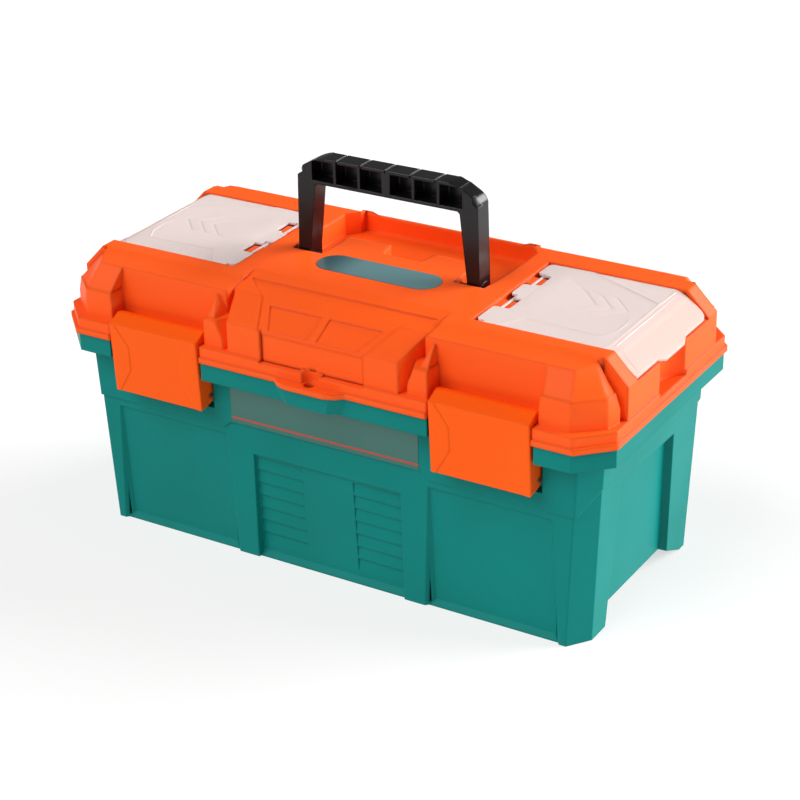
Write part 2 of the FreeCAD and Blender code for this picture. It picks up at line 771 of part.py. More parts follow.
def lid_hollows(body):
    """The space under the lid's forms, which leaves walls of even thickness."""
    low = "tub_height - 1"
    root = lid_level("band_height - 5")
    slab(body, "band_hollow", HOLLOW, XY, low, lid_level("band_height - wall"), rim_ring("(band_inset + wall)"))
    slab(body, "centre_hollow", HOLLOW, YZ, "-1", "centre_half_length + wall", lid_centre_section("wall"))
    slab(body, "shelf_hollow", HOLLOW, YZ, "centre_half_length + wall - 1", "shelf_half_length - wall",
         lid_shelf_section("wall"))
    slab(body, "ends_hollow", HOLLOW, XZ, "-(end_back - wall)", "end_front - wall", lid_end_section("wall"))
    slab(body, "block_hollow", HOLLOW, YZ, "-1", "block_half_length - wall", [
        ("-(block_face - wall)", root),
        ("-(block_face - wall)", lid_level("block_high - 1.3 * wall")),
        ("-(roof_depth - wall - 1)", lid_level("roof_high - 1.3 * wall")),
        ("-(roof_depth - wall - 1)", root),
    ])
    for place, sign, edge in (("front", "-1", "end_front"), ("back", "1", "end_back")):
        inner = f"{sign} * 60"
        beside_groove = f"{sign} * ({edge} + 3.5 + wall)"
        face = f"{sign} * (tower_face - 1.2 * wall)"
        slab(body, f"{place}_tower_hollow", HOLLOW, XY, root, lid_level("tower_step - wall"), [
            ("tower_inner + wall", inner),
            ("tower_inner + wall", face),
            ("tower_chamfer - 0.6 * wall", face),
            ("tower_corner - 1.2 - 1.2 * wall", f"{sign} * (tower_corner_depth - 1.2 - 0.8 * wall)"),
            ("tower_corner - 1.2 - wall", beside_groove),
            ("end_top_half_length - 3 - wall", beside_groove),
            ("end_top_half_length - 3 - wall", inner),
        ])
        low = f"{sign} * (tower_face - 1.7 - 1.3 * wall)"
        high = f"{sign} * (lid_front + 1.5 - 1.3 * wall)"
        loft(body, f"{place}_tower_top_hollow", HOLLOW, XY, [
            (lid_level("tower_step - wall - 1"), [
                ("tower_inner + 0.6 + wall", inner),
                ("tower_inner + 0.6 + wall", low),
                ("tower_chamfer - 2 * wall", low),
                ("tower_chamfer + 2 - 2 * wall", inner),
            ]),
            (lid_level("lid_front_high - wall"), [
                ("tower_inner + wall", inner),
                ("tower_inner + wall", high),
                ("tower_chamfer - 3 - 2 * wall", high),
                ("tower_chamfer - 1 - 2 * wall", inner),
            ]),
        ])


def lid_shelf_slopes(body):
    """The shelf falls from the frame to the latch seats, and the back from the frame to the rear wall."""
    high = lid_level("lid_height + 5")
    slab(body, "front_slope", HOLLOW, YZ, "centre_half_length - 7", "end_top_half_length - 2.5", [
        ("-(lid_front + 14)", lid_level("lid_front_high - 1")),
        ("-(frame_front + frame_step)", lid_level("lid_front_high + 1")),
        ("-frame_front", lid_level("lid_height")),
        ("-frame_front", high),
        ("-(lid_front + 14)", high),
    ])
    fall = "((lid_height - rear_low) / (rear_reach - frame_back))"
    slab(body, "back_slope", HOLLOW, YZ, "shelf_half_length", "end_top_half_length - 2.5", [
        ("frame_back", lid_level("lid_height")),
        ("rear_reach + 12", lid_level(f"rear_low - 12 * {fall}")),
        ("rear_reach + 12", high),
        ("frame_back", high),
    ])


def lid_tower_grooves(body):
    """A groove parts each tower from the end of the frame."""
    for place, sign, edge in (("front", "-1", "end_front"), ("back", "1", "end_back")):
        slab(body, f"{place}_tower_groove", HOLLOW, XY, lid_level("band_height"), lid_level("lid_height + 5"), [
            ("end_top_half_length - 3", f"{sign} * ({edge} - 1.5)"),
            (FAR, f"{sign} * ({edge})"),
            (FAR, f"{sign} * ({edge} + 3.5)"),
            ("end_top_half_length + 4", f"{sign} * ({edge} + 3)"),
        ])


def lid_inlay(body):
    """A shallow inlay that runs up the block's face and roof and ends in two long points."""
    rise = "(roof_high - block_high)"
    run = "(block_face - roof_depth)"
    slope = f"sqrt({rise} * {rise} + {run} * {run})"
    slab(body, "inlay_face", HOLLOW, XZ, "block_face - inlay_sink", "block_face + 5",
         box("-1", "inlay_half_length", lid_level("band_height - 0.5 * wall"), lid_level("block_high + 2")))
    tilt = f"atan({rise} / {run})"
    slab(body, "inlay_roof", HOLLOW, XY, lid_level("block_high - window_sink"), lid_level("block_high + 5"), [
        ("-1", "-3"),
        ("inlay_half_length", "-3"),
        ("inlay_half_length + 12", slope),
        ("-1", slope),
    ], lean=tilt, shift="-block_face")
    slab(body, "roof_window", HOLLOW, XY, lid_level("block_high - 2 * window_sink"), lid_level("block_high + 5"), [
        ("3", "2.5"),
        ("32", "2.5"),
        ("41", f"{slope} - 5"),
        ("3", f"{slope} - 5"),
    ], lean=tilt, shift="-block_face")
    top_tilt = "atan((lid_height - roof_high) / (roof_depth - deck_front))"
    slab(body, "inlay_point", HOLLOW, XY, lid_level("roof_high - window_sink"), lid_level("roof_high + 5"), [
        ("-1", "-0.5"),
        ("inlay_half_length + 12", "-0.5"),
        ("roof_half_length - 2", "16"),
        ("-1", "16"),
    ], lean=top_tilt, shift="-roof_depth")


def handle_recess_outline(grow):
    return to_middle([
        (f"slot_inner - {grow}", f"recess_front - {grow}"),
        (f"slot_inner - {grow}", f"-(slot_front + {grow})"),
        (f"slot_outer + {grow}", f"-(slot_front + {grow})"),
        (f"recess_half_length + {grow}", f"recess_front - {grow}"),
        (f"recess_half_length + {grow}", "recess_back - 14.5"),
        (f"recess_half_length - 7.5 + {grow}", "recess_back - 6"),
        (f"recess_half_length - 7.5 + {grow}", f"recess_back + 0.2 * {grow}"),
    ])


def lid_handle_recess(body):
    """The recess that takes the folded handle, with a finger scoop under the grip."""
    floor = lid_level("recess_floor")
    top = lid_level("lid_height")
    slab(body, "recess_skin", LINING, XY, f"{floor} - wall", f"{top} - 1", handle_recess_outline("wall"))
    slab(body, "scoop_skin", LINING, XY, f"{floor} - wall", f"{top} - 1", to_middle([
        ("scoop_half_width - 3 + wall", "scoop_front - wall"),
        ("scoop_half_width + wall", "recess_front"),
    ]))
    slab(body, "recess", ROOM, XY, floor, f"{top} + 5", handle_recess_outline("0"))
    slab(body, "scoop", ROOM, XY, floor, f"{top} + 5", to_middle([
        ("scoop_half_width - 3", "scoop_front"),
        ("scoop_half_width", "recess_front + 2"),
    ]))
    slab(body, "rear_dip", ROOM, XZ, "-(rear_reach + 5)", "-(recess_back - 4)", [
        ("-1", lid_level("rear_low")),
        ("slot_inner + 4", lid_level("rear_low")),
        ("slot_inner + 14", lid_level("lid_height")),
        ("slot_inner + 14", lid_level("lid_height + 5")),
        ("-1", lid_level("lid_height + 5")),
    ])


def lid_bin(body):
    """An open bin let into the end of the lid, with a rabbet for its cover."""
    wall_far = "end_half_length - wall"
    slab(body, "bin_skin", LINING, XZ, "-(bin_back + wall)", "bin_front + wall", [
        ("bin_near - wall", lid_level("bin_floor - wall")),
        (f"{wall_far} + 1", lid_level("bin_floor - wall")),
        (f"{wall_far} + 1", lid_level("end_high - 2")),
        ("end_top_half_length - wall", lid_level("lid_height - wall + 1")),
        ("bin_near - wall", lid_level("lid_height - wall + 1")),
    ])
    slab(body, "scallop_skin", LINING, XZ, "-(scallop_half_width + 4)", "scallop_half_width + 4",
         box("scallop_near - wall", f"{wall_far} + 1", lid_level("bin_floor - wall"), lid_level("cover_end_high - 3")))
    slab(body, "bin", ROOM, XZ, "-bin_back", "bin_front",
         box("bin_near", "scallop_near - wall", lid_level("bin_floor"), lid_level("lid_height + 5")))
    for place, start, stop in (("front", "scallop_half_width + 4", "bin_front"),
                               ("back", "-bin_back", "-(scallop_half_width + 4)")):
        slab(body, f"{place}_bin_end", ROOM, XZ, start, stop,
             box("scallop_near - wall - 1", wall_far, lid_level("bin_floor"), lid_level("lid_height + 5")))
    drop = "(cover_thick + 0.3)"
    slab(body, "rabbet", ROOM, XZ, "-(cover_back + cover_gap)", "cover_front + cover_gap", [
        ("lobe_near - 1.3", lid_level("lid_height + 5")),
        ("lobe_near - 1.3", lid_level(f"lid_height - {drop} - 0.3")),
        ("cover_bend - 1", lid_level(f"lid_height - {drop} - 0.3")),
        ("cover_far - 0.6", lid_level(f"cover_end_high - {drop}")),
        (FAR, lid_level(f"cover_end_high - {drop}")),
        (FAR, lid_level("lid_height + 5")),
    ])
    rod(body, "scallop", ROOM, XY, lid_level("scallop_floor"), lid_level("lid_height + 5"),
        ("scallop_near + scallop_radius", "0"), "scallop_radius")
    # The cover's back lobe turns down into a round room behind the bin
    slab(body, "lobe_skin", LINING, XZ, "-(cover_back + cover_gap + wall)", "-(bin_back - 1)",
         box("hinge_rod_near - lobe_swing - wall", "hinge_rod_near + lobe_swing + wall",
             lid_level("hinge_rod_high - lobe_swing - wall"), lid_level("lid_height - 1")))
    rod(body, "lobe_room", ROOM, XZ, "-(cover_back + cover_gap)", "-(bin_back - 1)",
        ("hinge_rod_near", lid_level("hinge_rod_high")), "lobe_swing")


def lid_bin_hinges(body):
    """Open cradles on the bin's inner wall that hold the cover's rod."""
    centre = ("hinge_rod_near", lid_level("hinge_rod_high"))
    slack = "hinge_rod_radius + running_fit"
    for place, start, end in (("front", "-21", "-9"), ("back", "19.5", "30.5")):
        low, high = f"-({end})", f"-({start})"
        slab(body, f"{place}_cradle", FITTING, XZ, low, high, [
            ("bin_near - 1", lid_level("hinge_rod_high - 4.4")),
            ("window_far - 1.2", lid_level("hinge_rod_high - 2.4")),
            ("window_far - 1.2", lid_level("hinge_rod_high + 1")),
            ("bin_near - 1", lid_level("hinge_rod_high + 1")),
        ])
        rod(body, f"{place}_cradle_bore", BORE, XZ, f"{low} - 1", f"{high} + 1", centre, slack)
        slab(body, f"{place}_cradle_mouth", BORE, XZ, f"{low} - 1", f"{high} + 1",
             box("hinge_rod_near - hinge_rod_radius + 0.3", "hinge_rod_near + hinge_rod_radius - 0.3",
                 lid_level("hinge_rod_high"), lid_level("hinge_rod_high + 5")))


def lid_latch_seat(body):
    """The latch hooks over a ledge in a notch through the lip and the band."""
    slab(body, "notch_skin", LINING, YZ, "latch_near - wall", "latch_far + wall",
         box("-(rim_half_depth - 3)", "-(notch_depth - wall)", "tub_height", lid_level("band_height")))
    slab(body, "notch", ROOM, YZ, "latch_near", "latch_far - 0.9",
         box("-(eye_reach + 5)", "-notch_depth", "tub_height - 1", lid_level("band_height + 2")))


def lid_padlock_eye(body):
    lip = lid_level("lip_height - 0.3")
    centre = ("0", "-(eye_depth + 1)")
    slab(body, "eye_skin", LINING, XY, "tub_height", lid_level("band_height"),
         box("0", "eye_radius + 2.4 + wall", "-(rim_half_depth - 3)", "-(eye_depth - eye_radius - 1.4 - wall)"))
    slab(body, "eye_tab", LINING, XY, "tub_height", lip, to_middle([
        ("bulge_half_width", "-(rim_half_depth - 3)"),
        ("bulge_half_width - 3", "-(rim_half_depth)"),
        ("eye_half_width", "-(eye_reach - 2)"),
        ("eye_half_width - 6", "-eye_reach"),
    ]))
    rod(body, "eye_groove", ROOM, XY, lip, lid_level("band_height + 1"), centre, "eye_radius + 2.4")
    rod(body, "padlock_hole", BORE, XY, "tub_height - 1", lid_level("band_height"), ("0", "-eye_depth"), "eye_radius")


def lid_hinge(body):
    inner = "hinge_near - side_gap - knuckle_width"
    outer = "hinge_far + side_gap"
    axis = ("hinge_depth", "tub_height")
    for place, start in (("inner", inner), ("outer", outer)):
        rod(body, f"{place}_knuckle_room", ROOM, YZ, f"{start} - side_gap", f"{start} + knuckle_width + side_gap", axis,
            "hinge_radius + side_gap")
    hinge_knuckle(body, "knuckle", "hinge_near", "hinge_far", "tub_height", "tub_height + hinge_radius",
                  "rim_half_depth - 2")
    rod(body, "knuckle_bore", BORE, YZ, "hinge_near - 0.2", "hinge_far + 0.2", axis, "hinge_pin_radius + running_fit")


def lid_badge_seat(body):
    low = lid_level("lid_height - badge_sink")
    high = lid_level("lid_height + 2")
    slab(body, "badge_seat", ROOM, XY, low, high,
         box("-1", "badge_half_length - badge_radius", "-(badge_depth + badge_radius + 0.2)",
             "-(badge_depth - badge_radius - 0.2)"))
    rod(body, "badge_seat_end", ROOM, XY, low, high, ("badge_half_length - badge_radius", "-badge_depth"),
        "badge_radius + 0.2")


def lid_shell():
    body = new_body("lid_shell")
    lid_forms(body)
    lid_hollows(body)
    lid_shelf_slopes(body)
    lid_tower_grooves(body)
    lid_inlay(body)
    lid_handle_recess(body)
    lid_bin(body)
    lid_bin_hinges(body)
    lid_latch_seat(body)
    lid_padlock_eye(body)
    lid_hinge(body)
    rod(body, "handle_bore", BORE, YZ, "slot_inner - 6", "slot_outer + 6",
        ("handle_pin_depth", lid_level("handle_pin_high")), "handle_pin_radius + running_fit")
    lid_badge_seat(body)
    return join(body, mirrored=True)


def lid_badge():
    body = new_body("lid_badge")
    low = lid_level("lid_height - badge_sink")
    high = f"{low} + badge_thick"
    slab(body, "middle", MASS, XY, low, high, box("0", "badge_half_length - badge_radius", "-(badge_depth + badge_radius)",
                                            "-(badge_depth - badge_radius)"))
    rod(body, "end", MASS, XY, low, high, ("badge_half_length - badge_radius", "-badge_depth"), "badge_radius")
    return join(body, mirrored=True)


# Bin covers

def bin_cover(name, sign):
    """A thin translucent cover with a bent end and an integral hinge rod."""
    body = new_body(name)
    top = lid_level("lid_height - 0.3")
    end = lid_level("cover_end_high")
    under = f"{top} - cover_thick"
    slab(body, "panel", MASS, XZ, "-cover_back", "cover_front", turned([
        ("cover_near", under),
        ("cover_bend - 1", under),
        ("cover_far - 0.6", f"{end} - cover_thick"),
        ("cover_far + 1", f"{end} - 0.5"),
        ("cover_bend", top),
        ("cover_near", top),
    ], sign))
    rod_low = lid_level("hinge_rod_high")
    rod_end = "bin_back - 1"
    lobes = (("front", "-40", "-23.5", "-24.5"), ("middle", "-2", "15", "14"), ("back", "34", "cover_back", rod_end))
    for place, start, stop, bridge_stop in lobes:
        slab(body, f"{place}_lobe", MASS, XZ, f"-({stop})", f"-({start})",
             turned(box("lobe_near", "cover_near + 2", under, top), sign))
        slab(body, f"{place}_bridge", MASS, XZ, f"-({bridge_stop})", f"-({start}) - 1",
             turned(box("hinge_rod_near - hinge_rod_radius", "hinge_rod_near + hinge_rod_radius", rod_low,
                        f"{top} - 1"), sign))
    for place, start, stop in (("front", "-23.5", "-7"), ("back", "17", "33")):
        low, high = span(sign, "cover_near - 1", "window_far")
        slab(body, f"{place}_window", HOLLOW, XY, f"{top} - 10", f"{top} + 5", box(low, high, start, stop))
    rod(body, "hinge_rod", LINING, XZ, f"-({rod_end})", "39", (f"{sign} * hinge_rod_near", rod_low), "hinge_rod_radius")
    low, high = span(sign, "102", "112")
    slab(body, "pad", LINING, XY, f"{top} - 0.5", f"{top} + 0.6", box(low, high, "-10", "35"))
    for i in range(3):
        tip = f"142.5 + {i} * 10.6"
        slab(body, f"chevron{i}", ROOM, XY, f"{top} - 0.6", f"{top} + 2", turned([
            (tip, "7"),
            (f"{tip} - 13", "22.5"),
            (f"{tip} - 15.5", "22.5"),
            (f"{tip} - 4", "7"),
            (f"{tip} - 15.5", "-8.5"),
            (f"{tip} - 13", "-8.5"),
        ], sign))
    return join(body)


# Latches

def latch(name, sign):
    """A hooked draw latch with two cheeks, turning on a pin through the tub's lugs."""
    body = new_body(name)
    near = "latch_near + latch_gap"
    far = "latch_far - latch_gap"
    low, high = span(sign, near, far)
    top = lid_level("12.6")
    hook = lid_level("band_height + 0.4")
    heel = "latch_heel"
    slab(body, "form", MASS, YZ, low, high, [
        ("-latch_face_low", "latch_low"),
        ("-latch_face_high", top),
        ("-(latch_hook_depth + 4)", f"{top} + 5"),
        ("-latch_hook_depth", f"{top} + 4.5"),
        ("-latch_hook_depth", hook),
        ("-(notch_depth + side_gap)", hook),
        ("-(notch_depth + side_gap)", "tub_height - collar_height - 1"),
        ("-latch_back", "tub_height - collar_height - 4"),
        (f"-(latch_pin_depth - {heel})", "latch_pin_high"),
        (f"-(latch_pin_depth - 0.77 * {heel})", f"latch_pin_high - 0.64 * {heel}"),
        (f"-(latch_pin_depth - 0.26 * {heel})", f"latch_pin_high - 0.96 * {heel}"),
        ("-(latch_pin_depth + 3)", "latch_low + 1"),
    ])
    low, high = span(sign, f"{near} + latch_skin", f"{far} - latch_skin")
    slab(body, "hollow", HOLLOW, YZ, low, high, [
        ("-(latch_face_low - latch_skin)", "latch_low + 2.2"),
        ("-(latch_face_high - latch_skin)", f"{hook} - 0.6"),
        ("-(latch_back - 10)", f"{hook} - 0.6"),
        ("-(latch_back - 10)", "latch_low - 5"),
        ("-(latch_pin_depth + 5)", "latch_low - 5"),
        ("-(latch_pin_depth + 5)", "latch_low + 2.2"),
    ])
    low, high = span(sign, f"{near} - 1", f"{far} + 1")
    rod(body, "pin_bore", BORE, YZ, low, high, ("-latch_pin_depth", "latch_pin_high"),
        "latch_pin_radius + running_fit")
    return join(body)


def pin(name, role, low, high, centre, radius):
    body = new_body(name)
    rod(body, "shaft", MASS, role, low, high, centre, radius)
    return join(body)


# Handle: its right half is modelled and then mirrored

def handle():
    body = new_body("handle")
    top = lid_level("grip_high")
    pivot = lid_level("handle_pin_high")
    axis = ("handle_pin_depth", pivot)
    slab(body, "arch", MASS, XZ, "-handle_back", "handle_front", to_middle([
        ("leg_outer_low", pivot),
        ("leg_outer_high", lid_level("grip_low")),
        ("leg_outer_high", f"{top} - 9"),
        ("leg_inner - 3", top),
    ]))
    slab(body, "hand_gap", HOLLOW, XZ, "-handle_back - 5", "handle_front + 5", [
        ("-1", lid_level("0")),
        ("leg_inner_low", lid_level("0")),
        ("leg_inner_low", lid_level("lid_height")),
        ("leg_inner", lid_level("grip_low - 1.5")),
        ("leg_inner - 1.5", lid_level("grip_low")),
        ("-1", lid_level("grip_low")),
    ])
    rod(body, "heel", LINING, YZ, "leg_inner_low", "leg_outer_low", axis, "handle_heel")
    rod(body, "pin_bore", BORE, YZ, "leg_inner_low - 1", "leg_outer_low + 1", axis,
        "handle_pin_radius + running_fit")
    for place, start, stop in (("inner", "3", "19"), ("middle", "20.8", "37"), ("outer", "38.8", "55")):
        slab(body, f"{place}_pocket", ROOM, XZ, "-(handle_back - grip_skin)", "handle_front + 1",
             box(start, stop, lid_level("grip_low + grip_skin"), f"{top} - grip_skin"))
    # Grooves part the grip's top into six pads
    for place, start, stop in (("middle", "-1", "0.7"), ("inner", "17.3", "18.7"), ("outer", "35.3", "36.7")):
        slab(body, f"{place}_groove", ROOM, YZ, start, stop, [
            ("-handle_front - 1", f"{top} + 1"),
            ("-handle_front - 1", f"{top} - grip_skin"),
            ("-handle_front + 0.7", f"{top} - grip_skin"),
            ("-handle_front + 1.3", f"{top} - 1"),
            ("handle_back - 1.3", f"{top} - 1"),
            ("handle_back - 0.7", f"{top} - grip_skin"),
            ("handle_back + 1", f"{top} - grip_skin"),
            ("handle_back + 1", f"{top} + 1"),
        ])
    return join(body, mirrored=True)


# Tray: its right half is modelled and then mirrored

def tray():
    """It hangs in the tub by a flange, notched at the padlock eye and the latches."""
    body = new_body("tray")
    ledge = "(tub_height - collar_height + ledge_thick + 0.1)"
    rim_top = f"({ledge} + tray_rim)"
    slab(body, "form", MASS, XY, "tray_low", rim_top,
         half_octagon("(tray_half_length)", "(tray_half_depth)", "tray_corner", "tray_corner"))
    slab(body, "flange", MASS, XY, ledge, f"{ledge} + tray_flange", rim_ring("(collar_inset + wall + 1)"))
    for place, near, far in (("eye", "-1", "bulge_half_width + 1"),
                             ("latch", "latch_near - 2 * wall - 1", "latch_far + 2 * wall + 1")):
        slab(body, f"{place}_notch", HOLLOW, XY, "tray_low - 1", f"{rim_top} + 1",
             box(near, far, "-rim_half_depth", "-latch_pocket_depth"))
    front = "-(tray_half_depth - tray_skin)"
    back = "tray_half_depth - tray_skin"
    floor = "tray_low + tray_skin"
    inner_far = "tray_half_length - tray_skin"
    cells = {
        "middle": box("-1", "48.2", front, back),
        "side": box("50", "98.2", front, back),
        "end": [
            ("100", front),
            (f"{inner_far} - tray_corner", front),
            (inner_far, f"{front} + tray_corner"),
            (inner_far, f"{back} - tray_corner"),
            (f"{inner_far} - tray_corner", back),
            ("100", back),
        ],
    }
    for name, corners in cells.items():
        slab(body, f"{name}_cell", HOLLOW, XY, floor, f"{rim_top} + 1", corners)
    return join(body, mirrored=True)


def build():
    make_sheet()
    nodes = [base_tub(), front_label(), lid_shell(), lid_badge(), handle(), tray()]
    for side, sign in (("left", "-1"), ("right", "1")):
        nodes.append(bin_cover(f"{side}_bin_cover", sign))
        nodes.append(latch(f"{side}_latch", sign))
        low, high = span(sign, "latch_near + 1", "latch_far - 1")
        nodes.append(pin(f"{side}_latch_pin", YZ, low, high, ("-latch_pin_depth", "latch_pin_high"),
                         "latch_pin_radius"))
        low, high = span(sign, "slot_inner - 2.5", "slot_outer + 2.5")
        nodes.append(pin(f"{side}_handle_pin", YZ, low, high, ("handle_pin_depth", lid_level("handle_pin_high")),
                         "handle_pin_radius"))
        low, high = span(sign, "hinge_near - knuckle_width - 1", "hinge_far + knuckle_width + 1")
        nodes.append(pin(f"{side}_hinge_pin", YZ, low, high, ("hinge_depth", "tub_height"), "hinge_pin_radius"))
    doc.recompute()
    return nodes


def check_and_write(nodes):
    for item in doc.Objects:
        if "Invalid" in item.State or "Error" in item.State:
            raise RuntimeError(f"{item.Name} failed: {item.State}")
    os.makedirs("parts", exist_ok=True)
    for body in nodes:
        shape = body.Shape
        if shape.isNull() or not shape.isValid():
            raise RuntimeError(f"{body.Label} has no valid shape")
        print(body.Label, len(shape.Solids), round(shape.Volume / 1000, 1), shape.BoundBox)
        shape.exportStep(f"parts/{body.Label}.step")


check_and_write(build())
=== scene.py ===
import json
import math

import bmesh
import bpy
from mathutils import Matrix, Vector
from mathutils.geometry import delaunay_2d_cdt


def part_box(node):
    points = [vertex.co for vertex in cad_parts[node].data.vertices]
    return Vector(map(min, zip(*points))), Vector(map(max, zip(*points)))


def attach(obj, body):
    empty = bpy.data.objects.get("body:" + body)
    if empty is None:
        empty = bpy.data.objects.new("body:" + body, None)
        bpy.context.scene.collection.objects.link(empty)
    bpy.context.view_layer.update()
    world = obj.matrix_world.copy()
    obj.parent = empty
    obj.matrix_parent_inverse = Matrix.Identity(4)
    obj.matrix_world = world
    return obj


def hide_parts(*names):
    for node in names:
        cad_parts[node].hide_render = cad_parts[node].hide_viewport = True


# A moulded plastic toolbox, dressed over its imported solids. Metres; the front faces -Y.

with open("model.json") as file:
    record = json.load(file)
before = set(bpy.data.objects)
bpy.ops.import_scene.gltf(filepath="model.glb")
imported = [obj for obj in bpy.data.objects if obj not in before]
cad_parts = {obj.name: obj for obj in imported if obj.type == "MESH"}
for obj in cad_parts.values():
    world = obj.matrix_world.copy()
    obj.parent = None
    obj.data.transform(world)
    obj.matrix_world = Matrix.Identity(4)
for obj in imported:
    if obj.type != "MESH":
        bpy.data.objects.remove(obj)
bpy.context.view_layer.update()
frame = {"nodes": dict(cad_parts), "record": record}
nodes = frame["nodes"]
bodies = frame["record"]["behaviour"]["bodies"]
body_of = {node: body for body, members in bodies.items() for node in members}

# Camera, solved on the rim's outline and the box's two mirrored halves

AZIMUTH, ELEVATION, ROLL = (math.radians(angle) for angle in (31.655, 26.017, -1.286))
TARGET = Vector((0.00610, -0.00132, 0.09441))
DISTANCE = 1.44388
FOCAL, SENSOR = 99.564, 36


def add_camera():
    back = Vector((
        math.sin(AZIMUTH) * math.cos(ELEVATION),
        -math.cos(AZIMUTH) * math.cos(ELEVATION),
        math.sin(ELEVATION),
    ))
    level = Vector((math.cos(AZIMUTH), math.sin(AZIMUTH), 0))
    upright = back.cross(level)
    right = level * math.cos(ROLL) + upright * math.sin(ROLL)
    up = upright * math.cos(ROLL) - level * math.sin(ROLL)
    camera = bpy.data.objects.new("camera", bpy.data.cameras.new("camera"))
    bpy.context.scene.collection.objects.link(camera)
    camera.data.lens = FOCAL
    camera.data.sensor_width = SENSOR
    turned = Matrix((right, up, back)).transposed().to_4x4()
    camera.matrix_world = Matrix.Translation(TARGET + back * DISTANCE) @ turned
    bpy.context.scene.camera = camera


# Materials

# A mould's eroded grain is 0.1 to 0.3 mm wide, too fine to show here, so it is drawn 0.9 mm wide
GRAIN, GRAIN_DEPTH = 0.0009, 0.00006
# Clouds in the flow of the plastic, to the metre: some 90 mm across
CLOUDS = 11.0
CLOUD_SPAN = {"From Min": 0.3, "From Max": 0.7}
GLOSS_SPREAD = 0.04
BEVEL_SAMPLES = 6
# For colours, a mix node takes its factor at 0 and the colours at 6 and 7, and its result is output 2
COLOURS = {"data_type": "RGBA"}


def linear(colour):
    """An sRGB hex colour as linear numbers."""
    channels = [int(colour[i:i + 2], 16) / 255 for i in (0, 2, 4)]
    return [c / 12.92 if c <= 0.04045 else ((c + 0.055) / 1.055) ** 2.4 for c in channels] + [1.0]


def add(tree, kind, settings=(), inputs=()):
    """A node with its settings; an input takes a value or another node's output."""
    made = tree.nodes.new(kind)
    for name, value in dict(settings).items():
        setattr(made, name, value)
    for name, value in dict(inputs).items():
        if isinstance(value, bpy.types.NodeSocket):
            tree.links.new(value, made.inputs[name])
        else:
            made.inputs[name].default_value = value
    return made


def new_material(name):
    """An empty material and its node tree."""
    material = bpy.data.materials.new(name)
    material.use_nodes = True
    material.node_tree.nodes.clear()
    return material, material.node_tree


def finish_surface(tree, colour, roughness, normal, constants=()):
    shader = add(tree, "ShaderNodeBsdfPrincipled", (), {
        **dict(constants), "Base Color": colour, "Roughness": roughness, "Normal": normal})
    add(tree, "ShaderNodeOutputMaterial", (), {"Surface": shader.outputs["BSDF"]})


def moulded_plastic(name, colour, deep, roughness=0.42, rounding=0.0012, painted_shade_span=None, constants=()):
    """Injection-moulded plastic: an even colour, rounded edges and the mould's eroded grain.

    Its colour has faint flow clouds, or with a painted_shade_span it goes over to the deeper one
    between two distances from the middle, as painted shade.
    """
    material, tree = new_material(name)
    place = add(tree, "ShaderNodeTexCoord").outputs["Object"]
    cloud = add(tree, "ShaderNodeTexNoise", (), {
        "Vector": place, "Scale": CLOUDS, "Detail": 3.0, "Roughness": 0.5}).outputs["Fac"]
    # Given a span, the colour goes over to the deeper one beyond it: painted shade
    if painted_shade_span:
        along = add(tree, "ShaderNodeSeparateXYZ", (), {"Vector": place}).outputs["X"]
        away = add(tree, "ShaderNodeMath", {"operation": "ABSOLUTE"}, {0: along}).outputs["Value"]
        span = {"Value": away, "From Min": painted_shade_span[1], "From Max": painted_shade_span[0]}
    else:
        span = {"Value": cloud, **CLOUD_SPAN}
    share = add(tree, "ShaderNodeMapRange", (), span).outputs["Result"]
    gloss = add(tree, "ShaderNodeMapRange", (), {
        "Value": cloud, **CLOUD_SPAN, "To Min": roughness + GLOSS_SPREAD, "To Max": roughness - GLOSS_SPREAD})
    pits = add(tree, "ShaderNodeTexNoise", (), {
        "Vector": place, "Scale": 1 / GRAIN, "Detail": 2.0, "Roughness": 0.6})
    edges = add(tree, "ShaderNodeBevel", {"samples": BEVEL_SAMPLES}, {"Radius": rounding})
    bump = add(tree, "ShaderNodeBump", (), {
        "Height": pits.outputs["Fac"], "Strength": 0.35, "Distance": GRAIN_DEPTH,
        "Normal": edges.outputs["Normal"]})
    tint = add(tree, "ShaderNodeMix", COLOURS, {0: share, 6: linear(deep), 7: linear(colour)})
    finish_surface(tree, tint.outputs[2], gloss.outputs["Result"], bump.outputs["Normal"], constants)
    return material


def label_film():
    """Printed film, left bare but for its plain stripe: smooth and a little glossier than the tub."""
    stripe_height, stripe_half = 0.0034, 0.0007
    material, tree = new_material("bare_printed_film")
    place = add(tree, "ShaderNodeTexCoord").outputs["Object"]
    height = add(tree, "ShaderNodeSeparateXYZ", (), {"Vector": place}).outputs["Z"]
    low, high = (corner.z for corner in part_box("front_label"))
    middle = add(tree, "ShaderNodeMath", {"operation": "SUBTRACT"}, {0: height, 1: low + stripe_height})
    away = add(tree, "ShaderNodeMath", {"operation": "ABSOLUTE"}, {0: middle.outputs["Value"]})
    stripe = add(tree, "ShaderNodeMath", {"operation": "LESS_THAN"}, {0: away.outputs["Value"], 1: stripe_half})
    rise = add(tree, "ShaderNodeMapRange", (), {"Value": height, "From Min": low, "From Max": high})
    ground = add(tree, "ShaderNodeMix", COLOURS, {
        0: rise.outputs["Result"], 6: linear("2C645A"), 7: linear("3A7268")})
    ink = add(tree, "ShaderNodeMix", COLOURS, {
        0: stripe.outputs["Value"], 6: ground.outputs[2], 7: linear("B03A2E")})
    ripple = add(tree, "ShaderNodeTexNoise", (), {"Vector": place, "Scale": 60.0, "Detail": 1.0})
    bump = add(tree, "ShaderNodeBump", (), {
        "Height": ripple.outputs["Fac"], "Strength": 0.2, "Distance": 0.0001})
    finish_surface(tree, ink.outputs[2], 0.33, bump.outputs["Normal"])
    return material


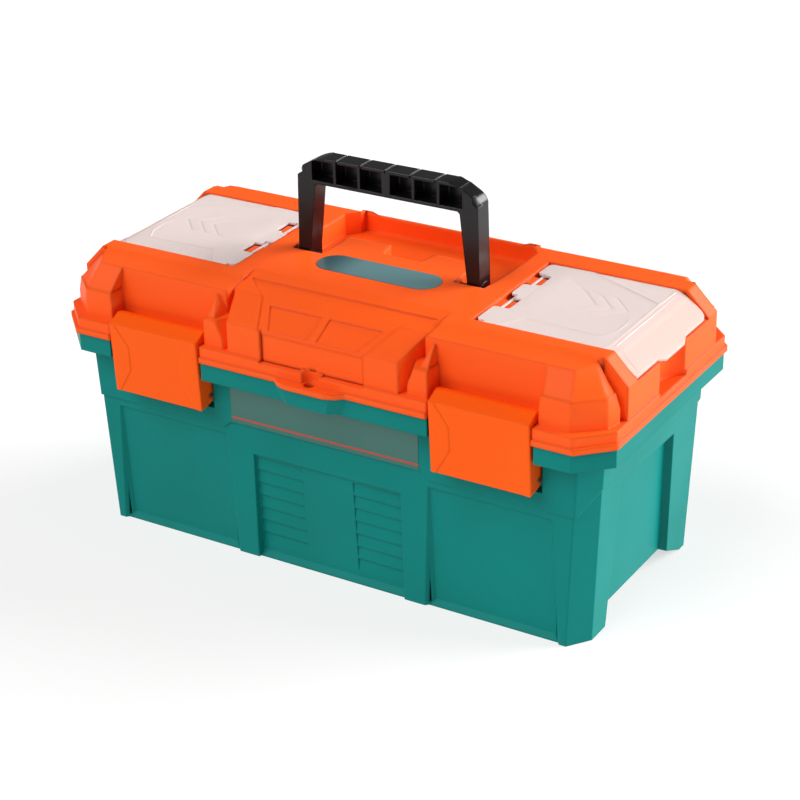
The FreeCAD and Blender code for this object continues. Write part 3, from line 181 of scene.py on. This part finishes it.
def badge_film():
    """Domed film on the lid, left bare: a clear coat, over a colour that deepens towards its left end in a
    painted shadow.
    """
    shadow_start, shadow_end = 0.004, 0.032
    material, tree = new_material("bare_domed_film")
    place = add(tree, "ShaderNodeTexCoord").outputs["Object"]
    along = add(tree, "ShaderNodeSeparateXYZ", (), {"Vector": place}).outputs["X"]
    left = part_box("lid_badge")[0].x
    # Towards the left end the colour is painted darker: painted shadow
    share = add(tree, "ShaderNodeMapRange", {"interpolation_type": "SMOOTHSTEP"},
                {"Value": along, "From Min": left + shadow_start, "From Max": left + shadow_end})
    tint = add(tree, "ShaderNodeMix", COLOURS, {
        0: share.outputs["Result"], 6: linear("24464C"), 7: linear("5A8084")})
    ripple = add(tree, "ShaderNodeTexNoise", (), {"Vector": place, "Scale": 40.0, "Detail": 1.0})
    bump = add(tree, "ShaderNodeBump", (), {
        "Height": ripple.outputs["Fac"], "Strength": 0.15, "Distance": 0.0001})
    coat = {"Coat Weight": 0.3, "Coat Roughness": 0.1}
    finish_surface(tree, tint.outputs[2], 0.3, bump.outputs["Normal"], coat)
    return material


def drawn_wire():
    """Bright drawn steel wire, with its fine scratches along the wire."""
    material, tree = new_material("drawn_steel_wire")
    place = add(tree, "ShaderNodeTexCoord").outputs["Object"]
    # Scratches 25 mm long and 0.4 mm wide, which is coarser than real ones so that they show
    stretched = add(tree, "ShaderNodeMapping", (), {"Vector": place, "Scale": (40, 2500, 2500)})
    scratches = add(tree, "ShaderNodeTexNoise", (), {
        "Vector": stretched.outputs["Vector"], "Scale": 1.0, "Detail": 2.0}).outputs["Fac"]
    bump = add(tree, "ShaderNodeBump", (), {"Height": scratches, "Strength": 0.2, "Distance": 0.00005})
    tint = add(tree, "ShaderNodeMix", COLOURS, {0: scratches, 6: linear("8E9094"), 7: linear("C4C6C9")})
    finish_surface(tree, tint.outputs[2], 0.28, bump.outputs["Normal"], {"Metallic": 1.0})
    return material


MATT = {"Specular IOR Level": 0.1}
# Polypropylene from an eroded mould: matt, so that its colour stays full where light grazes it
TUB = moulded_plastic("moulded_polypropylene_teal", "00807A", "007870", rounding=0.0014, constants=MATT)
# The same, with wide soft edges
LID = moulded_plastic("moulded_polypropylene_orange_red", "FF5F1E", "FF5B1B", rounding=0.0030, constants=MATT)
# Acetal is springier and a little smoother, with a yellower orange
LATCH = moulded_plastic("moulded_acetal_orange", "FF600C", "FF5C0A", roughness=0.36, rounding=0.0014,
                        constants=MATT)
# A satin black whose edges and ribs catch the light
HANDLE = moulded_plastic("moulded_polypropylene_black", "0E0E0F", "0A0A0B", roughness=0.27,
                         constants={"Specular IOR Level": 0.35})
# A duller black, seen only with the lid open
TRAY = moulded_plastic("moulded_polystyrene_black", "232426", "1C1D1F", roughness=0.45)
# Unfilled polypropylene: milky. Its bent end, which the key lamp lights strongly, is painted deeper: painted
# shade
MILKY = {
    "Transmission Weight": 0.25, "Subsurface Weight": 0.3,
    "Subsurface Radius": (0.004, 0.003, 0.003), "Subsurface Scale": 1.0}
COVER = moulded_plastic("moulded_natural_polypropylene", "FFE9E4", "E9BDB2", roughness=0.34, rounding=0.0006,
                        painted_shade_span=(0.174, 0.186), constants=MILKY)
WIRE = drawn_wire()


# Pieces

# Points nearer than this are one, and faces that meet at less than this angle are joined
DOUBLE = 2e-5
FLAT = math.radians(0.6)
# A joined flat narrower than this somewhere would fold over when its edges are rounded
NECK = 0.0004
# An edge is rounded if it is this sharp, and if no edge at its ends is shorter than this many roundings
SHARP = math.radians(24)
ROOM = 2.6
# A sharper edge than this isn't shaded smooth
CREASE = math.radians(32)


def dress(piece, *materials):
    piece.data.materials.clear()
    for material in materials:
        piece.data.materials.append(material)


def new_piece(name, form):
    """An object with this form as its mesh."""
    piece = bpy.data.objects.new(name, bpy.data.meshes.new(name))
    form.to_mesh(piece.data)
    form.free()
    bpy.context.scene.collection.objects.link(piece)
    return piece


def moulding(node, joined=True):
    """A copy of a solid's mesh with its doubles merged and, if it says so, its flats joined."""
    form = bmesh.new()
    form.from_mesh(nodes[node].data)
    bmesh.ops.remove_doubles(form, verts=form.verts, dist=DOUBLE)
    if joined:
        bmesh.ops.dissolve_limit(form, angle_limit=FLAT, verts=form.verts, edges=form.edges)
        # Flats with a neck, such as the one behind the handle's recess, go back to triangles
        necked = [f for f in form.faces if any(
            v not in e.verts and distance(v.co, e.verts[0].co, e.verts[1].co) < NECK
            for v in f.verts for e in f.edges)]
        bmesh.ops.triangulate(form, faces=necked)
    return new_piece(node + "_moulding", form)


def prism(form, ring, offset, spread=1.0):
    """Adds a prism to a form: a ring of points, carried along by an offset and scaled about its middle."""
    middle = sum((Vector(point) for point in ring), Vector()) / len(ring)
    near = [form.verts.new(Vector(point)) for point in ring]
    far = [form.verts.new(middle + (Vector(point) - middle) * spread + Vector(offset))
           for point in ring]
    sides = [form.faces.new((near[i - 1], near[i], far[i], far[i - 1])) for i in range(len(ring))]
    faces = sides + [form.faces.new(near), form.faces.new(far)]
    bmesh.ops.recalc_face_normals(form, faces=faces)


def carve(piece, form):
    """Cuts a form out of a piece's mesh."""
    tool = new_piece("tool", form)
    cut = piece.modifiers.new("cut", "BOOLEAN")
    cut.object = tool
    cut.solver = "EXACT"
    seen = piece.evaluated_get(bpy.context.evaluated_depsgraph_get())
    piece.data = bpy.data.meshes.new_from_object(seen)
    piece.modifiers.clear()
    bpy.data.objects.remove(tool)


def round_edges(form, edges, width, segments=3):
    bmesh.ops.bevel(form, geom=edges, offset=width, offset_type="OFFSET", segments=segments,
                    profile=0.5, affect="EDGES", clamp_overlap=True, miter_outer="ARC")


def soften(piece, width):
    """Rounds the edges that have room for it, and leaves the rest as they are."""
    form = bmesh.new()
    form.from_mesh(piece.data)
    room = ROOM * width
    tight = {v for v in form.verts if any(e.calc_length() < room for e in v.link_edges)}
    sharp = [e for e in form.edges if e.is_manifold and e.calc_face_angle(0) > SHARP]
    round_edges(form, [e for e in sharp if not (e.verts[0] in tight or e.verts[1] in tight)], width)
    form.to_mesh(piece.data)
    form.free()


def show(piece, node, material):
    """Shades a finished piece and puts it in the place of its solid."""
    form = bmesh.new()
    form.from_mesh(piece.data)
    for face in form.faces:
        face.smooth = True
    for edge in form.edges:
        edge.smooth = not edge.is_manifold or edge.calc_face_angle(0) < CREASE
    form.to_mesh(piece.data)
    form.free()
    dress(piece, material)
    piece.modifiers.new("normals", "WEIGHTED_NORMAL").keep_sharp = True
    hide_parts(node)
    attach(piece, body_of[node])


# A latch's face: its ends, its middle, its front at the top and how far that leans back to the foot
LATCH_TOP, LATCH_LOW, LATCH_MIDDLE = 0.1531, 0.1052, 0.1185
LATCH_FRONT, LATCH_LEAN = -0.0979, 0.0026
PANEL_DEPTH = 0.0004
LATCH_EDGE = 0.0007


def add_latch(side, sign):
    """Its face has a shallow hourglass panel between two flats."""
    piece = moulding(side + "_latch")
    form = bmesh.new()
    ring = [(0.0876, LATCH_TOP + 0.0012), (0.0984, 0.1385), (0.0984, 0.1225), (0.0872, LATCH_LOW - 0.001)]
    ring += [(2 * LATCH_MIDDLE - x, z) for x, z in reversed(ring)]
    lean = LATCH_LEAN / (LATCH_TOP - LATCH_LOW)
    face = [(sign * x, LATCH_FRONT + (LATCH_TOP - z) * lean + PANEL_DEPTH, z) for x, z in ring]
    # The tool widens outwards, so that the panel's sides slope
    prism(form, face, (0, -0.01, 0), 1.6)
    carve(piece, form)
    soften(piece, LATCH_EDGE)
    show(piece, side + "_latch", LATCH)


# The handle's grip: how far down its corners reach, where they and their roundings begin, and two radii
CORNER_REACH, CORNER_START, BEND_START = 0.0095, 0.048, 0.0495
CORNER_RADIUS, CROWN_RADIUS = 0.0045, 0.0012
GRIP_TOP_SLACK = 0.0005
# An edge across the grip is this straight and long at least, and one along its crown this sharp in radians
STRAIGHT, WHOLE_DEPTH, CROWN_SHARP = 0.99, 0.012, 0.8
SAME = 1e-5
HANDLE_EDGE = 0.0005


def add_handle():
    """The corners and the long top edges of its grip are round."""
    piece = moulding("handle", joined=False)
    low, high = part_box("handle")
    form = bmesh.new()
    form.from_mesh(piece.data)

    def runs_across(edge):
        """Whether an edge runs from the grip's front to its back."""
        way = (edge.verts[1].co - edge.verts[0].co).normalized()
        return abs(way.y) > STRAIGHT and edge.calc_length() > WHOLE_DEPTH

    def on_crown(edge):
        """Whether an edge lies in the grip's front or back, along its top or around its corners."""
        a, b = (v.co for v in edge.verts)
        on_face = abs(a.y - b.y) < SAME and min(abs(a.y - low.y), abs(a.y - high.y)) < SAME
        return on_face and all(
            p.z > high.z - CORNER_REACH and (p.z > high.z - GRIP_TOP_SLACK or abs(p.x) > BEND_START)
            for p in (a, b))

    corners = [e for e in form.edges if runs_across(e) and e.verts[0].co.z > high.z - CORNER_REACH
               and abs(e.verts[0].co.x) > CORNER_START]
    round_edges(form, corners, CORNER_RADIUS, 5)
    crown = [e for e in form.edges if e.is_manifold and e.calc_face_angle(0) > CROWN_SHARP
             and e.calc_length() > CROWN_RADIUS and on_crown(e)]
    round_edges(form, crown, CROWN_RADIUS, 3)
    form.to_mesh(piece.data)
    form.free()
    soften(piece, HANDLE_EDGE)
    show(piece, "handle", HANDLE)


CORNER_STEPS = 5


def arc_corners(corners):
    """A closed outline in which each (x, y, radius) corner is a short curve."""
    outline = []
    for i, (x, y, radius) in enumerate(corners):
        corner = Vector((x, y))
        before = (Vector(corners[i - 1][:2]) - corner).normalized()
        after = (Vector(corners[(i + 1) % len(corners)][:2]) - corner).normalized()
        reach = radius / math.tan(before.angle(after) / 2)
        for step in range(CORNER_STEPS + 1):
            t = step / CORNER_STEPS
            outline.append(corner + before * reach * (1 - t) ** 2 + after * reach * t ** 2)
    return outline


def distance(point, start, stop):
    """How far a point is from a line between two others."""
    way = stop - start
    share = max(0.0, min(1.0, (point - start).dot(way) / way.length_squared))
    return (point - start - way * share).length


# A bin cover in millimetres: its outline with corner radii, its ribs, its chevron grooves and its raised pad
COVER_OUTLINE = [
    (94.2, -48.4, 1.5), (94.2, -45.1, 0.4), (88.5, -45.1, 2.6), (88.5, -23.5, 2.4), (99, -23.5, 1.2),
    (99, -7, 1.2), (94, -7, 1.0), (94, -2, 1.0), (88.5, -2, 2.6), (88.5, 15, 2.6), (94, 15, 0.6),
    (94, 17, 0.8), (99, 17, 1.2), (99, 33, 1.2), (94, 33, 0.3), (94, 34, 0.3), (88.5, 34, 2.4),
    (88.5, 51.3, 4.5), (179, 51.3, 3.0), (196.6, 51.3, 6.0), (196.6, 20, 4.0), (199.2, 13, 4.0),
    (199.2, -13, 4.0), (196.6, -20, 4.0), (196.6, -48.4, 1.5)]
COVER_RIBS = [
    [(120, 51), (176, 26), (177, 46)], [(104, -48), (115, -31), (165, -33), (171, -22), (171.5, -8)],
    [(179, -40), (197, -44)]]
CHEVRONS = [[(tip - 14, 22), (tip, 7), (tip - 14, -8)] for tip in (142.5, 153.1, 163.7)]
PAD = [(102, -10), (112, -10), (112, 35), (102, 35)]
PAD_HEIGHT, PAD_SLOPE = 0.4, 1.2
RIB, GROOVE = (0.45, 0.9), (-0.5, 1.3)
COVER_TOP, COVER_THICK = 187.4, 1.6
# Its bend: where, how far the rounding reaches either way, the slope beyond, and lines across it
BEND, BEND_REACH, BEND_SLOPE = 179, 5, 0.758
BEND_LINES = (-5, -3.3, -1.7, 0, 1.7, 3.3, 5)
# Those lines run past the cover's front and back
PAST_EDGES = 60
# The hinge rod in metres: its middle, its radius, its front end and length, and the bridges that hold it
ROD_X, ROD_Z, ROD_RADIUS = 0.0925, 0.1849, 0.0015
ROD_START, ROD_LENGTH, ROD_SIDES = -0.0389, 0.0863, 20
BRIDGES = ((-0.0395, -0.0248), (-0.0018, 0.0137), (0.0345, 0.0472))
BRIDGE = ((0.0911, 0.1849), (0.0939, 0.1849), (0.0939, 0.1862), (0.0911, 0.1862))


def cover_height(x):
    """The height of the cover's outside in millimetres, with its bend rounded."""
    past = x - BEND
    if past < -BEND_REACH:
        return COVER_TOP
    if past > BEND_REACH:
        return COVER_TOP - BEND_SLOPE * past
    return COVER_TOP - BEND_SLOPE * ((past + BEND_REACH) ** 2 / (4 * BEND_REACH))


def add_cover(side, sign):
    """A thin bent sheet with ribs, a pad and chevrons, on its hinge rod."""
    points, edges = [], []

    def draw(line, closed=False):
        first = len(points)
        points.extend(Vector(point) for point in line)
        edges.extend((first + i, first + i + 1) for i in range(len(line) - 1))
        if closed:
            edges.append((len(points) - 1, first))

    outline = arc_corners(COVER_OUTLINE)
    draw(outline, closed=True)
    for past in BEND_LINES:
        draw([(BEND + past, -PAST_EDGES), (BEND + past, PAST_EDGES)])
    lines = [(line, *RIB) for line in COVER_RIBS] + [(line, *GROOVE) for line in CHEVRONS]
    strokes = []
    for line, rise, reach in lines:
        for start, stop in zip(line, line[1:]):
            start, stop = Vector(start), Vector(stop)
            across = (stop - start).orthogonal().normalized() * reach
            strokes.append((start, stop, rise, reach))
            for shift in (across, Vector((0, 0)), -across):
                draw([start + shift, stop + shift])
    draw(PAD, closed=True)
    (pad_near, pad_front), (pad_far, pad_back) = PAD[0], PAD[2]
    draw([(x + (PAD_SLOPE if x == pad_far else -PAD_SLOPE), y + (PAD_SLOPE if y == pad_back else -PAD_SLOPE))
          for x, y in PAD], closed=True)
    flat, _, faces, *_ = delaunay_2d_cdt(points, edges, [list(range(len(outline)))], 1, 1e-4)

    def lift(point):
        rise = 0
        for start, stop, high, reach in strokes:
            here = high * max(0.0, 1 - distance(point, start, stop) / reach)
            rise = here if abs(here) > abs(rise) else rise
        edge = 0.01
        inside = pad_near - edge < point.x < pad_far + edge and pad_front - edge < point.y < pad_back + edge
        return PAD_HEIGHT if inside else rise

    form = bmesh.new()

    def raised(point, rise):
        return form.verts.new((sign * point.x / 1000, point.y / 1000, (cover_height(point.x) + rise) / 1000))

    top = [raised(point, lift(point)) for point in flat]
    under = [raised(point, -COVER_THICK) for point in flat]
    for face in faces:
        form.faces.new([top[i] for i in face])
        form.faces.new([under[i] for i in reversed(face)])
    partner = dict(zip(top, under))
    rims = [e for e in form.edges if e.is_boundary and e.verts[0] in partner]
    for rim in rims:
        a, b = rim.verts
        form.faces.new((a, b, partner[b], partner[a]))
    bmesh.ops.recalc_face_normals(form, faces=form.faces)
    turns = [i * 2 * math.pi / ROD_SIDES for i in range(ROD_SIDES)]
    rod = [(sign * ROD_X + ROD_RADIUS * math.cos(turn), ROD_START, ROD_Z + ROD_RADIUS * math.sin(turn))
           for turn in turns]
    prism(form, rod, (0, ROD_LENGTH, 0))
    for start, stop in BRIDGES:
        prism(form, [(sign * x, start, z) for x, z in BRIDGE], (0, stop - start, 0))
    show(new_piece(side + "_cover_sheet", form), side + "_bin_cover", COVER)


# Floor and light

FLOOR_HALF = 9
# How much of a distant lamp's angle is soft, in degrees
SOFTNESS = 50
WORLD_STRENGTH = 0.18


def add_floor():
    """An opal sheet, lit a little from below as on a light table."""
    material, tree = new_material("backlit_opal_acrylic")
    place = add(tree, "ShaderNodeTexCoord").outputs["Object"]
    cloud = add(tree, "ShaderNodeTexNoise", (), {"Vector": place, "Scale": 3.0, "Detail": 2.0})
    bump = add(tree, "ShaderNodeBump", (), {
        "Height": cloud.outputs["Fac"], "Strength": 0.05, "Distance": 0.0002})
    tint = add(tree, "ShaderNodeMix", COLOURS, {
        0: cloud.outputs["Fac"], 6: linear("A6A6A6"), 7: linear("AAAAAA")})
    finish_surface(tree, tint.outputs[2], 0.8, bump.outputs["Normal"], {
        "Specular IOR Level": 0.0, "Emission Color": (1, 1, 1, 1), "Emission Strength": 0.62})
    mesh = bpy.data.meshes.new("floor")
    corners = [(x * FLOOR_HALF, y * FLOOR_HALF, 0) for x, y in ((-1, -1), (1, -1), (1, 1), (-1, 1))]
    mesh.from_pydata(corners, [], [(0, 1, 2, 3)])
    floor = bpy.data.objects.new("floor", mesh)
    bpy.context.scene.collection.objects.link(floor)
    dress(floor, material)


def add_lamp(name, turn, rise, strength):
    """A distant soft lamp: turned from the front towards the right, and raised, in degrees."""
    turn, rise = math.radians(turn), math.radians(rise)
    way = Vector((math.sin(turn) * math.cos(rise), -math.cos(turn) * math.cos(rise), math.sin(rise)))
    lamp = bpy.data.objects.new(name, bpy.data.lights.new(name, "SUN"))
    lamp.data.energy = strength * math.pi
    lamp.data.angle = math.radians(SOFTNESS)
    lamp.rotation_mode = "QUATERNION"
    lamp.rotation_quaternion = way.to_track_quat("Z", "Y")
    lamp.location = way * 2
    bpy.context.scene.collection.objects.link(lamp)


def add_light():
    add_lamp("key", 133, 16, 1.95)
    add_lamp("front", -32, 48, 0.68)
    world = bpy.data.worlds.new("studio")
    world.use_nodes = True
    ground = world.node_tree.nodes["Background"]
    ground.inputs["Color"].default_value = (1, 1, 1, 1)
    ground.inputs["Strength"].default_value = WORLD_STRENGTH
    bpy.context.scene.world = world
    bpy.context.scene.view_settings.view_transform = "Standard"


add_camera()
add_floor()
add_light()
for node, width, material in (("base_tub", 0.0008, TUB), ("lid_shell", 0.0010, LID), ("tray", 0.0005, TRAY)):
    made = moulding(node)
    soften(made, width)
    show(made, node, material)
add_handle()
for side, sign in (("left", -1), ("right", 1)):
    add_cover(side, sign)
    add_latch(side, sign)
    dress(nodes[side + "_hinge_pin"], WIRE)
    dress(nodes[side + "_latch_pin"], WIRE)
    dress(nodes[side + "_handle_pin"], HANDLE)
dress(nodes["front_label"], label_film())
dress(nodes["lid_badge"], badge_film())
